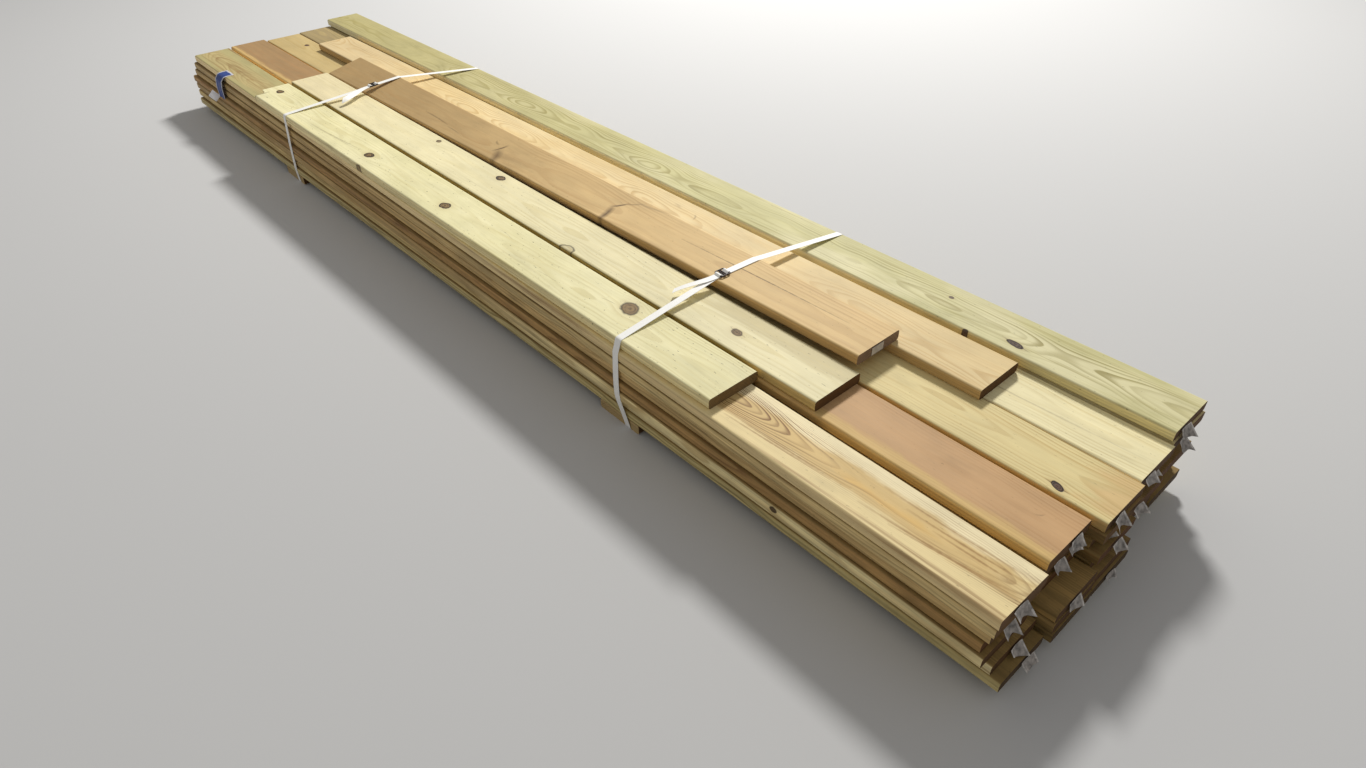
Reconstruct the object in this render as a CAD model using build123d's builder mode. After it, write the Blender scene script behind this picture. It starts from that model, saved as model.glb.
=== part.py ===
from build123d import *
from dataclasses import dataclass
from math import atan2, cos, hypot, radians, sin
import os

os.makedirs("parts", exist_ok=True)

# A strapped bundle of softwood decking boards, eight rows of five, on two offcut bearers.
# Millimetres. +X runs along the boards to the near end, +Y across them, +Z up from the floor.

# Decking stock
board_width = 139.7
board_thickness = 25.4
edge_radius = 6.35
full_length = 3658.0
ten_foot_length = 3048.0

# Strap, its wire buckle and the clearances
strap_width = 19.0
strap_thickness = 0.9
strap_clearance = 0.25
wire_diameter = 3.5
wire_sides = 6
seat_gap = 0.3
bearer_length = 725.0
groove_side_gap = 1.0

# Label film
label_thickness = 0.5

# Places below are measured from the near left top corner of the first top board, which lies at this
# distance from the middle of the whole bundle.
nearest_end = 703.0
longest_recess = 57.0
label_reach = 10.0
leftmost_edge = -37.0
tag_reach = 22.0
rightmost_edge = 711.0
datum_x = -(nearest_end + label_reach + nearest_end - longest_recess - full_length) / 2
datum_y = -(leftmost_edge - tag_reach + rightmost_edge) / 2


@dataclass
class Board:
    """A straight board: its near end, its left edge at the near and far ends, its length and its row."""

    near_x: float
    near_left: float
    far_left: float
    length: float
    row: int

    def left(self, x):
        return self.near_left + (self.far_left - self.near_left) * (self.near_x - x) / self.length

    def right(self, x):
        return self.left(x) + board_width

    @property
    def along(self):
        return Vector(-1, (self.far_left - self.near_left) / self.length, 0).normalized()

    @property
    def across(self):
        return Vector(self.along.Y, -self.along.X, 0)

    @property
    def bottom(self):
        return bearer_top + (len(rows) - self.row) * board_thickness

    @property
    def top(self):
        return self.bottom + board_thickness


bearer_top = board_thickness


def row_of_boards(row, near_left, far_left, near_gaps, far_gaps, near_ends):
    """Five full boards side by side, each placed by its gap to the one on its left."""
    boards = []
    near_y, far_y = datum_y + near_left, datum_y + far_left
    for near_gap, far_gap, near_end in zip((0.0,) + near_gaps, (0.0,) + far_gaps, near_ends):
        near_y += near_gap
        far_y += far_gap
        boards.append(Board(datum_x + near_end, near_y, far_y, full_length, row))
        near_y += board_width
        far_y += board_width
    return boards


# The seven full rows under the top one, from the second down to the eighth on the bearers: the left edge
# of the row at its near and far ends, the gaps between its boards there, and its near ends.
row_places = [
    (-20.0, 1.6, (21.3, 8.6, 1.7, 2.6), (8.0, 0.8, 1.5, 1.8), (668.0, 657.0, 681.0, 672.0, 667.0)),
    (-19.0, -8.0, (20.3, 7.3, 2.5, 2.2), (2.0, 3.0, 1.5, 4.0), (665.0, 652.0, 686.0, 655.0, 661.0)),
    (-13.0, -12.0, (15.3, 6.3, 1.5, 2.0), (2.5, 4.0, 1.5, 3.5), (659.0, 649.0, 668.0, 664.0, 650.0)),
    (-19.0, -24.0, (21.3, 6.3, 1.5, 2.5), (6.0, 3.0, 5.0, 2.0), (651.0, 653.0, 690.0, 676.0, 668.0)),
    (-24.0, -24.0, (28.3, 5.3, 1.5, 1.5), (4.0, 5.0, 3.0, 4.5), (661.0, 698.0, 680.0, 652.0, 657.0)),
    (-6.0, -28.0, (9.3, 5.0, 1.5, 2.0), (6.0, 3.5, 4.5, 6.0), (673.0, 700.0, 696.0, 669.0, 646.0)),
    (-6.0, -37.0, (10.0, 4.0, 1.5, 2.0), (6.5, 5.5, 7.0, 6.0), (694.0, 703.0, 701.0, 660.0, 671.0)),
]
rows = []
for row_number, places in enumerate(row_places, start=1):
    rows.append(row_of_boards(row_number, *places))

# The loose top row: near ends, lengths, and the gaps that space it at each board's two ends
top_near_ends = (0.0, 147.0, 347.0, 663.0)
top_lengths = (2338.0, 2495.0, ten_foot_length, full_length)
first_left = (-2.0, -13.7)
second_gap = (8.6, 10.8)
fourth_gap = (127.1, 120.8)
fifth_gap = (18.9, 29.8)


def top_board(index, near_left, far_left):
    near_x = datum_x + top_near_ends[index]
    return Board(near_x, near_left, far_left, top_lengths[index], 0)


first = top_board(0, datum_y + first_left[0], datum_y + first_left[1])
second_lefts = [first_edge + board_width + gap
                for first_edge, gap in zip((first.near_left, first.far_left), second_gap)]
second = top_board(1, *second_lefts)
fourth_lefts = [left + board_width + gap for left, gap in zip(second_lefts, fourth_gap)]
fourth = top_board(2, *fourth_lefts)
fifth_lefts = [left + board_width + gap for left, gap in zip(fourth_lefts, fifth_gap)]
fifth = top_board(3, *fifth_lefts)

# The twisted third board lies in the space between the second and fourth, with its left edge down in the
# space at the far end and its right half on the fourth board's eased edge.
twisted_near_end = 127.0
twisted_length = 2468.0
twisted_near_x = datum_x + twisted_near_end
twist_at_far_end = 12.0
twisted_side_gap = (11.0, 4.5)
twist_stations = 7


def twisted_section(x):
    """Tilt in degrees and the left bottom corner (y, z) of the twisted board at one place along it."""
    share = (twisted_near_x - x) / twisted_length
    tilt = twist_at_far_end * share
    side_gap = twisted_side_gap[0] + (twisted_side_gap[1] - twisted_side_gap[0]) * share
    corner_y = second.right(x) + side_gap
    reach = edge_radius + seat_gap
    arc_y = fourth.left(x) + edge_radius
    arc_z = fourth.top - edge_radius
    slope = radians(tilt)
    along = (arc_y - sin(slope) * reach - corner_y) / cos(slope)
    corner_z = arc_z + cos(slope) * reach - sin(slope) * along
    return tilt, corner_y, corner_z


def twisted_point(x, across, up):
    """Place of a point of the twisted board's section, given across and up from its left bottom corner."""
    tilt, corner_y, corner_z = twisted_section(x)
    slope = radians(tilt)
    return (corner_y + across * cos(slope) - up * sin(slope), corner_z + across * sin(slope) + up * cos(slope))


def plank(board):
    """Draw a straight board's eased section at its near end and run it back to the far end."""
    corner = Vector(board.near_x, board.near_left, board.bottom)
    centre = corner + board.across * (board_width / 2) + Vector(0, 0, board_thickness / 2)
    with BuildSketch(Plane(origin=centre, x_dir=board.across, z_dir=board.along)) as eased_section:
        RectangleRounded(board_width, board_thickness, edge_radius)
    extrude(eased_section.sketch, amount=board.length)


# The first board's far left corner has torn off: the outline of the tear, across the board from its left
# edge and back from its far end. It starts and ends a little outside the board.
outside = 1.0
torn_outline = ((-outside, 36.0), (12.0, 40.0), (24.0, 35.0), (33.0, 38.0), (40.0, 22.0), (42.0, -outside),
                (-outside, -outside))


def tear(board):
    """Take the torn corner off the board's far end."""
    far_corner = Vector(board.near_x, board.near_left, board.top) + board.along * board.length
    with BuildSketch(Plane(origin=far_corner, x_dir=board.across, z_dir=(0, 0, 1))) as torn_area:
        with BuildLine():
            Polyline(*[(across, -back) for across, back in torn_outline], close=True)
        make_face()
    extrude(torn_area.sketch, amount=-board_thickness, mode=Mode.SUBTRACT)


# Loose top boards
for node, board in (("top_board_1", first), ("top_board_2", second), ("top_board_4", fourth),
                    ("top_board_5", fifth)):
    with BuildPart() as straight_board:
        plank(board)
        if board is first:
            tear(board)
    straight_board.part.label = node
    export_step(straight_board.part, f"parts/{node}.step")

with BuildPart() as twisted_board:
    for station in range(twist_stations):
        station_x = twisted_near_x - twisted_length * station / (twist_stations - 1)
        tilt = radians(twisted_section(station_x)[0])
        middle_y, middle_z = twisted_point(station_x, board_width / 2, board_thickness / 2)
        section_plane = Plane(origin=(station_x, middle_y, middle_z), x_dir=(0, cos(tilt), sin(tilt)),
                              z_dir=(-1, 0, 0))
        with BuildSketch(section_plane):
            RectangleRounded(board_width, board_thickness, edge_radius)
    loft(ruled=True)
twisted_board.part.label = "top_board_3"
export_step(twisted_board.part, "parts/top_board_3.step")

# Full rows: the second row's boards are separate pieces to the eye, the hidden rows are one node each
for index, board in enumerate(rows[0], start=1):
    with BuildPart() as second_board:
        plank(board)
    second_board.part.label = f"second_row_board_{index}"
    export_step(second_board.part, f"parts/second_row_board_{index}.step")

for row_number, boards in enumerate(rows[1:], start=3):
    with BuildPart() as full_row:
        for board in boards:
            plank(board)
    full_row.part.label = f"row_{row_number}_boards"
    export_step(full_row.part, f"parts/row_{row_number}_boards.step")


@dataclass
class Strap:
    """A strap's middle line: where it turns over each corner of the bundle and at its buckle, along X."""

    name: str
    left_top: float
    at_buckle: float
    right_top: float
    right_bottom: float
    left_bottom: float
    buckle_left: float
    bearer_left: float
    tail_tip: tuple

    @property
    def station(self):
        return datum_x + (self.left_top + self.right_top) / 2

    @property
    def buckle_y(self):
        return datum_y + self.buckle_left


straps = [
    Strap("front", -284.0, -297.0, -258.0, -252.0, -255.0, 321.0, -12.0, (-330.0, 187.0, 12.0)),
    Strap("rear", -2050.0, -2041.0, -1999.0, -2005.0, -2035.0, 311.0, -28.0, (-1990.0, 161.0, 12.0)),
]
bearer_front_inset = 32.0
bearer_corner_radius = 0.5
groove_spare = 0.1
groove_depth = strap_clearance + strap_thickness + groove_spare


def bearer_ends(strap):
    left = datum_y + strap.bearer_left
    return left, left + bearer_length


def strap_line(strap, face):
    """Corners of the strap's middle line, as seen square on to the top, the left, the bottom or the right."""
    mid_top = fifth.bottom + board_thickness / 2
    mid_bearer = bearer_top / 2
    beyond = 40.0
    left, right = bearer_ends(strap)
    x = {key: datum_x + getattr(strap, key)
         for key in ("left_top", "at_buckle", "right_top", "right_bottom", "left_bottom")}
    if face == "top":
        return [(x["left_top"], first.left(strap.station) - beyond), (x["left_top"], first.left(strap.station)),
                (x["at_buckle"], strap.buckle_y), (x["right_top"], fifth.right(strap.station)),
                (x["right_top"], fifth.right(strap.station) + beyond)]
    if face == "bottom":
        return [(x["left_bottom"], left - beyond), (x["left_bottom"], left), (x["right_bottom"], right),
                (x["right_bottom"], right + beyond)]
    if face == "left":
        return [(x["left_top"], mid_top), (x["left_bottom"], mid_bearer)]
    return [(x["right_top"], mid_top), (x["right_bottom"], mid_bearer)]


def strap_circles(strap, offset):
    """Circles round every corner that the strap can bear on, larger than the corner by the offset."""
    x = strap.station
    corners = []
    for left, right, bottom in ([(first.left(x), fifth.right(x), fifth.bottom)] +
                                [(row[0].left(x), row[-1].right(x), row[0].bottom) for row in rows]):
        for up in (edge_radius, board_thickness - edge_radius):
            corners.append((left + edge_radius, bottom + up, edge_radius))
            corners.append((right - edge_radius, bottom + up, edge_radius))
    for across in (edge_radius, board_width - edge_radius):
        corners.append((*twisted_point(x, across, board_thickness - edge_radius), edge_radius))
    left, right = bearer_ends(strap)
    for y in (left + bearer_corner_radius, right - bearer_corner_radius):
        corners.append((y, groove_depth + bearer_corner_radius, bearer_corner_radius))
    circles = []
    for y, z, radius in corners:
        circles.append((Pos(y, z) * Circle(radius + offset, mode=Mode.PRIVATE)).edge())
    return circles


def strap_window(strap):
    """The slanting path of the strap as four flat-sided prisms, one for each side of the bundle."""
    top_middle = fifth.bottom + board_thickness / 2
    mid_bearer = bearer_top / 2
    reach = 100.0
    left, right = bearer_ends(strap)
    middle_y = (left + right) / 2
    with BuildPart() as window:
        with BuildSketch(Plane.XY.offset(top_middle)):
            with BuildLine():
                Polyline(*strap_line(strap, "top"))
            trace(line_width=strap_width)
        extrude(amount=reach)
        with BuildSketch(Plane.XY.offset(mid_bearer)):
            with BuildLine():
                Polyline(*strap_line(strap, "bottom"))
            trace(line_width=strap_width)
        extrude(amount=-reach)
        for face, turn in (("left", 1), ("right", -1)):
            with BuildSketch(Plane.XZ.offset(-middle_y)):
                with BuildLine():
                    Polyline(*strap_line(strap, face))
                trace(line_width=strap_width)
            extrude(amount=turn * bearer_length)
    return window.part


def buckle_plane(strap):
    """Plane on the strap's outer face at the buckle: x along the strap to the right, z away from it.

    The strap runs straight to the twisted board's right edge, from that board's left edge or, where
    that lies too low to touch it, from the first board's left edge.
    """
    x = strap.station
    first_arc = (first.left(x) + edge_radius, first.top - edge_radius)
    left_arc = twisted_point(x, edge_radius, board_thickness - edge_radius)
    right_arc = twisted_point(x, board_width - edge_radius, board_thickness - edge_radius)

    def rise_from(arc):
        return atan2(right_arc[1] - arc[1], right_arc[0] - arc[0])

    start_arc = left_arc if rise_from(left_arc) < rise_from(first_arc) else first_arc
    rise = rise_from(start_arc)
    outward = Vector(0, -sin(rise), cos(rise))
    slant = (strap.right_top - strap.at_buckle) / (fifth.right(x) - strap.buckle_y)
    along = Vector(slant, cos(rise), sin(rise)).normalized()
    lift = edge_radius + strap_clearance + strap_thickness
    run = (strap.buckle_y - start_arc[0] + sin(rise) * lift) / cos(rise)
    origin = Vector(datum_x + strap.at_buckle, strap.buckle_y,
                    start_arc[1] + cos(rise) * lift + run * sin(rise))
    return Plane(origin=origin, x_dir=along, z_dir=outward)


# Wire buckle: a rounded wire frame with a double bar across its middle. The strap's end lies double on
# the strap, then passes over one end of the frame, under the double bar and over the frame's other end.
buckle_length = 29.0
buckle_inner_width = 23.5
buckle_corner = 4.0
bar_spacing = 4.4
bar_clearance = 0.8
weave_gap = 0.3
doubled_run = 105.0
doubled_end = 8.0
tail_point = 14.0
tail_fold_radius = 16.0
tail_lift = 2.5
weave_bend = 0.8
half_length = (buckle_length - wire_diameter) / 2
half_width = (buckle_inner_width + wire_diameter) / 2
frame_height = 2 * weave_gap + strap_thickness + wire_diameter / 2
with BuildPart() as flat_buckle:
    with BuildSketch(mode=Mode.PRIVATE) as frame_outline:
        RectangleRounded(2 * half_length, 2 * half_width, buckle_corner)
    frame_path = frame_outline.sketch.face().outer_wire()
    with BuildSketch(Plane(origin=frame_path @ 0, x_dir=(0, 0, 1), z_dir=frame_path % 0)):
        RegularPolygon(wire_diameter / 2, wire_sides)
    sweep(path=frame_path)
    for bar in (-bar_spacing / 2, bar_spacing / 2):
        with BuildSketch(Plane(origin=(bar, 0, 0), x_dir=(1, 0, 0), z_dir=(0, 1, 0))):
            RegularPolygon(wire_diameter / 2, wire_sides)
        extrude(amount=half_width, both=True)

for strap in straps:
    seat = buckle_plane(strap)
    with BuildPart() as buckle:
        with Locations(seat.offset(frame_height)):
            add(flat_buckle.part)
    buckle.part.label = f"buckle_{strap.name}"
    export_step(buckle.part, f"parts/buckle_{strap.name}.step")

    # The weave, along the strap and out from it
    over_wire = frame_height + wire_diameter / 2 + weave_gap + strap_thickness / 2
    under_bar = weave_gap + strap_thickness / 2
    crest = 0.4 * wire_diameter
    ramp = 1.4 * wire_diameter
    bar_pass = (bar_spacing + wire_diameter) / 2 + bar_clearance
    weave_end = -half_length - 2 * ramp
    weave_plane = Plane(origin=seat.origin, x_dir=seat.x_dir, z_dir=-seat.y_dir)
    with BuildPart() as tail:
        with BuildSketch(weave_plane):
            with BuildLine():
                FilletPolyline((doubled_run, -strap_thickness / 2), (doubled_run - doubled_end, under_bar),
                               (half_length + ramp, under_bar), (half_length + crest, over_wire),
                               (half_length - crest, over_wire), (bar_pass, under_bar),
                               (-bar_pass, under_bar), (-half_length + crest, over_wire),
                               (-half_length - crest, over_wire), (-half_length - ramp, under_bar),
                               (weave_end, under_bar), radius=weave_bend)
            trace(line_width=strap_thickness)
        extrude(amount=strap_width / 2, both=True)

        # Past the buckle it turns aside and hangs loose, cut to a point
        fold = seat.from_local_coords(Vector(weave_end + ramp / 2, 0, 0))
        tip = Vector(datum_x, datum_y, fifth.top) + Vector(*strap.tail_tip)
        reach = Plane(origin=fold, x_dir=seat.x_dir, z_dir=seat.z_dir).to_local_coords(tip)
        tail_length = hypot(reach.X, reach.Y)
        tail_x = (seat.x_dir * reach.X + seat.y_dir * reach.Y).normalized()
        tail_y = seat.z_dir.cross(tail_x)
        with BuildSketch(Plane(origin=fold, x_dir=tail_x, z_dir=-tail_y)):
            with BuildLine():
                FilletPolyline((0, under_bar), (strap_width, under_bar), (tail_length / 2, under_bar + tail_lift),
                               (tail_length, reach.Z), radius=tail_fold_radius)
            trace(line_width=strap_thickness)
        extrude(amount=strap_width / 2, both=True)
        with BuildSketch(Plane(origin=fold, x_dir=tail_x, z_dir=seat.z_dir)):
            with BuildLine():
                Polyline((tail_length - tail_point, strap_width / 2), (tail_length + outside, strap_width / 2),
                         (tail_length + outside, -strap_width / 2), (tail_length, -strap_width / 2), close=True)
            make_face()
        extrude(amount=tail_length, both=True, mode=Mode.SUBTRACT)

    with BuildPart() as band:
        with BuildSketch(Plane.YZ.offset(strap.station - 2 * strap_width)):
            make_hull(strap_circles(strap, strap_clearance + strap_thickness))
            make_hull(strap_circles(strap, strap_clearance), mode=Mode.SUBTRACT)
        extrude(amount=5 * strap_width)
        add(strap_window(strap), mode=Mode.INTERSECT)
        add(tail.part)
    band.part.label = f"strap_{strap.name}"
    export_step(band.part, f"parts/strap_{strap.name}.step")

    # Bearer: a decking offcut laid flat across the stack, dented where the strap is pulled under it
    bearer_x = datum_x + strap.left_bottom - bearer_front_inset
    left, right = bearer_ends(strap)
    with BuildPart() as bearer:
        with BuildSketch(Plane(origin=(bearer_x, left, board_thickness / 2), x_dir=(1, 0, 0), z_dir=(0, 1, 0))):
            RectangleRounded(board_width, board_thickness, edge_radius)
        extrude(amount=bearer_length)
        with BuildSketch(Plane.XY):
            with BuildLine():
                Polyline(*strap_line(strap, "bottom"))
            trace(line_width=strap_width + 2 * groove_side_gap)
        extrude(amount=groove_depth, mode=Mode.SUBTRACT)
    bearer.part.label = f"bearer_{strap.name}"
    export_step(bearer.part, f"parts/bearer_{strap.name}.step")

# Film tag folded over the second row's left edge near the far end, hanging down the side of the stack,
# with its lower corner curled out square to show the pale back.
tag_place = -2682.0
tag_width = 68.0
tag_on_top = 34.0
tag_drop = 84.0
flap_size = 33.0
flap_turn = 49.0
flap_inset = 6.0
flap_overlap = 2.0
tag_x = datum_x + tag_place
edge_board = rows[0][0]
bulge_board = rows[3][0]
tag_left = edge_board.left(tag_x)
tag_bulge = bulge_board.left(tag_x) - seat_gap - label_thickness / 2
tag_top = edge_board.top + seat_gap + label_thickness / 2
tag_lowest = edge_board.top - tag_drop
with BuildPart() as tag:
    with BuildSketch(Plane.YZ.offset(tag_x)):
        with BuildLine():
            FilletPolyline((tag_left + tag_on_top, tag_top), (tag_left - seat_gap - label_thickness, tag_top),
                           (tag_bulge, bulge_board.top), (tag_bulge, tag_lowest), radius=edge_radius)
        trace(line_width=label_thickness)
    extrude(amount=tag_width / 2, both=True)
    flap_corner = Vector(tag_x - tag_width / 2 + flap_inset, tag_bulge, tag_lowest + flap_overlap)
    flap_across = Vector(0, -1, 0).rotate(Axis.Z, flap_turn - 90)
    flap_normal = Vector(1, 0, 0).rotate(Axis.Z, flap_turn - 90)
    flap_centre = flap_corner + flap_across * (flap_size / 2 ** 0.5 - label_thickness)
    with BuildSketch(Plane(origin=flap_centre, x_dir=flap_across, z_dir=flap_normal)):
        Rectangle(flap_size, flap_size, rotation=45)
    extrude(amount=label_thickness / 2, both=True)
tag.part.label = "side_tag"
export_step(tag.part, "parts/side_tag.step")

# Crumpled film labels stapled to the near ends: board, distance from its left edge, length, drop, and
# flare from the end grain in degrees
end_labels = [
    ("row 1 board 3", 50.0, 42.0, 20.0, 8.0), ("row 1 board 5", 24.0, 44.0, 22.0, 30.0),
    ("row 2 board 1", 28.0, 48.0, 24.0, 38.0), ("row 2 board 2", 66.0, 42.0, 20.0, 20.0),
    ("row 2 board 3", 14.0, 46.0, 24.0, 30.0), ("row 2 board 4", 10.0, 44.0, 22.0, 30.0),
    ("row 2 board 5", 10.0, 40.0, 22.0, 34.0), ("row 3 board 2", 75.0, 44.0, 18.0, 20.0),
    ("row 3 board 3", 92.0, 44.0, 22.0, 44.0), ("row 3 board 4", 60.0, 44.0, 22.0, 44.0),
    ("row 4 board 1", 24.0, 42.0, 22.0, 30.0), ("row 4 board 2", 44.0, 42.0, 22.0, 30.0),
    ("row 4 board 3", 24.0, 46.0, 22.0, 44.0), ("row 5 board 3", 40.0, 42.0, 22.0, 40.0),
    ("row 6 board 2", 34.0, 46.0, 24.0, 34.0), ("row 7 board 1", 50.0, 42.0, 18.0, 24.0),
    ("row 8 board 1", 60.0, 46.0, 20.0, 30.0), ("row 8 board 3", 40.0, 42.0, 18.0, 24.0),
]
label_creases = ((0.0, 0.3), (0.3, 2.6), (0.55, 0.4), (0.8, 3.4), (1.0, 1.6))
label_inset = 4.0

# The twisted board's near end lies flat one board higher than the rest of the top row
twisted_left = twisted_section(twisted_near_x)[1]
twisted_end = Board(twisted_near_x, twisted_left, twisted_left, twisted_length, -1)
label_boards = {}
for row_number, boards in enumerate([[first, second, twisted_end, fourth, fifth]] + rows, start=1):
    for board_number, board in enumerate(boards, start=1):
        label_boards[f"row {row_number} board {board_number}"] = board
with BuildPart() as labels:
    for board_name, offset, length, drop, flare in end_labels:
        board = label_boards[board_name]
        lean = radians(flare)
        hinge = Vector(board.near_x, board.near_left, board.top - label_inset) + board.across * offset
        downward = board.along * -sin(lean) + Vector(0, 0, -cos(lean))
        with BuildSketch(Plane(origin=hinge, x_dir=board.across, z_dir=downward)):
            with BuildLine():
                Polyline(*[(share * length, depth + seat_gap) for share, depth in label_creases])
            trace(line_width=label_thickness)
        extrude(amount=drop)
labels.part.label = "end_labels"
export_step(labels.part, "parts/end_labels.step")
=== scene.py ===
from functools import partial
from math import cos, pi, radians, sin

import bpy
import numpy as np
from mathutils import Matrix, Vector


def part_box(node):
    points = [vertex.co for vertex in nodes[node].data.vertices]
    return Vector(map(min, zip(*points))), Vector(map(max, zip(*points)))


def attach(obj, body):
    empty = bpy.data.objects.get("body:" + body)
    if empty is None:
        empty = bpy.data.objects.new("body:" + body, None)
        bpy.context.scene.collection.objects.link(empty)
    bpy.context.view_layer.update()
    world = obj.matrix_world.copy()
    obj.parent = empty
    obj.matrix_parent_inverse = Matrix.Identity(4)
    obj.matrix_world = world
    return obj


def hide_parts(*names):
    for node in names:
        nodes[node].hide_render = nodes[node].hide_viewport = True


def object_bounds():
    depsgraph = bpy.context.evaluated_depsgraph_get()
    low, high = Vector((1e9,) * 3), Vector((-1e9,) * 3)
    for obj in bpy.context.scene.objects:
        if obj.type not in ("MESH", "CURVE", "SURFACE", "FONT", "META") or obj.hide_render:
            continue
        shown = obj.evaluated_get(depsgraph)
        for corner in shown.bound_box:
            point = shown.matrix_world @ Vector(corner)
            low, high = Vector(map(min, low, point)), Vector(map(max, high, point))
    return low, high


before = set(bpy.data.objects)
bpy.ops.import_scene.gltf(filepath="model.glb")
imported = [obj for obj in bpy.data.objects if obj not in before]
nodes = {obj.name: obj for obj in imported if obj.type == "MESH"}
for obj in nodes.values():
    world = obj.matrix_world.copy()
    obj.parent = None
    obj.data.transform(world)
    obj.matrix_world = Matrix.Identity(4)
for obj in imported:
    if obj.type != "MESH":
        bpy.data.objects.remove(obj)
cad_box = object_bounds()

# The camera stands beyond the near left corner of the bundle at head height, looking down along it.
# Every place taken from the photograph is measured from one corner of the top row: the near left top
# corner of the first board.
first_low, first_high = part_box("top_board_1")
far_end_lies_left = 0.0135
corner = Vector((first_high.x, first_low.y + far_end_lies_left, first_high.z))

eye = corner + Vector((0.9507, -0.9147, 1.0907))
view_azimuth, view_pitch, view_roll = radians(138.262), radians(38.479), radians(-0.769)
ahead = Vector((cos(view_pitch) * cos(view_azimuth), cos(view_pitch) * sin(view_azimuth), -sin(view_pitch)))
level_right = ahead.cross(Vector((0, 0, 1))).normalized()
level_up = level_right.cross(ahead)
right = cos(view_roll) * level_right + sin(view_roll) * level_up
up = cos(view_roll) * level_up - sin(view_roll) * level_right
photo_width, focal_length = 1366, 869.0
lens = bpy.data.cameras.new("camera")
lens.sensor_width = 36.0
lens.lens = 36.0 * focal_length / photo_width
lens.shift_x = -1.05 / photo_width
lens.shift_y = -0.80 / photo_width
camera = bpy.data.objects.new("camera", lens)
bpy.context.scene.collection.objects.link(camera)
camera.matrix_world = Matrix.Translation(eye) @ Matrix((right, up, -ahead)).transposed().to_4x4()
bpy.context.scene.camera = camera
bpy.context.scene.view_settings.view_transform = "Standard"


# The floor is one pale matt sheet, and the light is one soft lamp high on the right, behind the middle,
# with an even white world that fills the shaded left side and the near ends.
def new_material(name):
    """Node material, with its tree and its shader."""
    material = bpy.data.materials.new(name)
    material.use_nodes = True
    return material, material.node_tree, material.node_tree.nodes["Principled BSDF"]


floor_mesh = bpy.data.meshes.new("floor")
floor_mesh.from_pydata([(-30, -30, 0), (30, -30, 0), (30, 30, 0), (-30, 30, 0)], [], [(0, 1, 2, 3)])
floor = bpy.data.objects.new("floor", floor_mesh)
bpy.context.scene.collection.objects.link(floor)
floor_paint, _, floor_shader = new_material("pale floor")
floor_shader.inputs["Base Color"].default_value = (0.60, 0.60, 0.60, 1)
floor_shader.inputs["Roughness"].default_value = 0.8
floor_shader.inputs["Specular IOR Level"].default_value = 0.1
floor_mesh.materials.append(floor_paint)

sky = bpy.data.worlds.new("studio")
sky.use_nodes = True
background = sky.node_tree.nodes["Background"]
background.inputs["Color"].default_value = (1.0, 0.985, 0.96, 1)
background.inputs["Strength"].default_value = 0.36
bpy.context.scene.world = sky

softbox = bpy.data.lights.new("softbox", "AREA")
softbox.shape = "DISK"
softbox.size = 1.1
softbox.energy = 510
softbox.color = (1.0, 0.985, 0.955)
lamp = bpy.data.objects.new("softbox", softbox)
bpy.context.scene.collection.objects.link(lamp)
lamp_place, lit_place = Vector((-2.3, 4.6, 5.1)), Vector((0, 0, 0.2))
aim = (lit_place - lamp_place).to_track_quat("-Z", "Y")
lamp.matrix_world = Matrix.Translation(lamp_place) @ aim.to_matrix().to_4x4()


# Bearers: two offcuts of the decking itself, laid flat across under the stack, planed softwood gone dull
# and dirty. The same wood is worked out here for every board: growth rings round a pith that wanders
# along the board, fibre streaks, knots that draw the grain in, and darker end grain.
def link(tree, value, socket):
    """Join a node's output to a socket, or set the socket where the value is a plain number or colour."""
    if isinstance(value, bpy.types.NodeSocket):
        tree.links.new(value, socket)
    else:
        socket.default_value = value


def calc(tree, operation, *inputs, clamp=False):
    """A Math node of that operation on numbers or other nodes' outputs."""
    node = tree.nodes.new("ShaderNodeMath")
    node.operation, node.use_clamp = operation, clamp
    for socket, value in zip(node.inputs, inputs):
        link(tree, value, socket)
    return node.outputs[0]


def board_group(name, carried, given):
    """New node group with sockets that are carried from group to group, and sockets that are only given."""
    group = bpy.data.node_groups.new(name, "ShaderNodeTree")
    for socket in carried:
        kind = "NodeSocketVector" if socket == "Grain" else "NodeSocketFloat"
        group.interface.new_socket(socket, in_out="INPUT", socket_type=kind)
        group.interface.new_socket(socket, in_out="OUTPUT", socket_type=kind)
    for socket, kind in given.items():
        group.interface.new_socket(socket, in_out="INPUT", socket_type=kind)
    return group, group.nodes.new("NodeGroupInput").outputs, group.nodes.new("NodeGroupOutput").inputs


def vector_math(tree, operation, *inputs):
    """A Vector Math node of that operation; lengths and dot products come out as numbers."""
    node = tree.nodes.new("ShaderNodeVectorMath")
    node.operation = operation
    for socket, value in zip(node.inputs, inputs):
        link(tree, value, socket)
    return node.outputs["Value" if operation in ("LENGTH", "DOT_PRODUCT") else "Vector"]


def separate(tree, vector):
    """The three numbers of a vector or colour."""
    node = tree.nodes.new("ShaderNodeSeparateXYZ")
    link(tree, vector, node.inputs[0])
    return node.outputs


def combine(tree, x, y, z):
    """Vector or colour of three numbers or other nodes' outputs."""
    node = tree.nodes.new("ShaderNodeCombineXYZ")
    for socket, value in zip(node.inputs, (x, y, z)):
        link(tree, value, socket)
    return node.outputs[0]


def colour_mix(tree, share, low, high, blend="MIX"):
    """Colour that goes from low to high as the share goes from 0 to 1, or to their product for MULTIPLY."""
    node = tree.nodes.new("ShaderNodeMix")
    node.data_type, node.blend_type = "RGBA", blend
    for socket, value in (("Factor", share), (6, low), (7, high)):
        link(tree, value, node.inputs[socket])
    return node.outputs[2]


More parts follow.
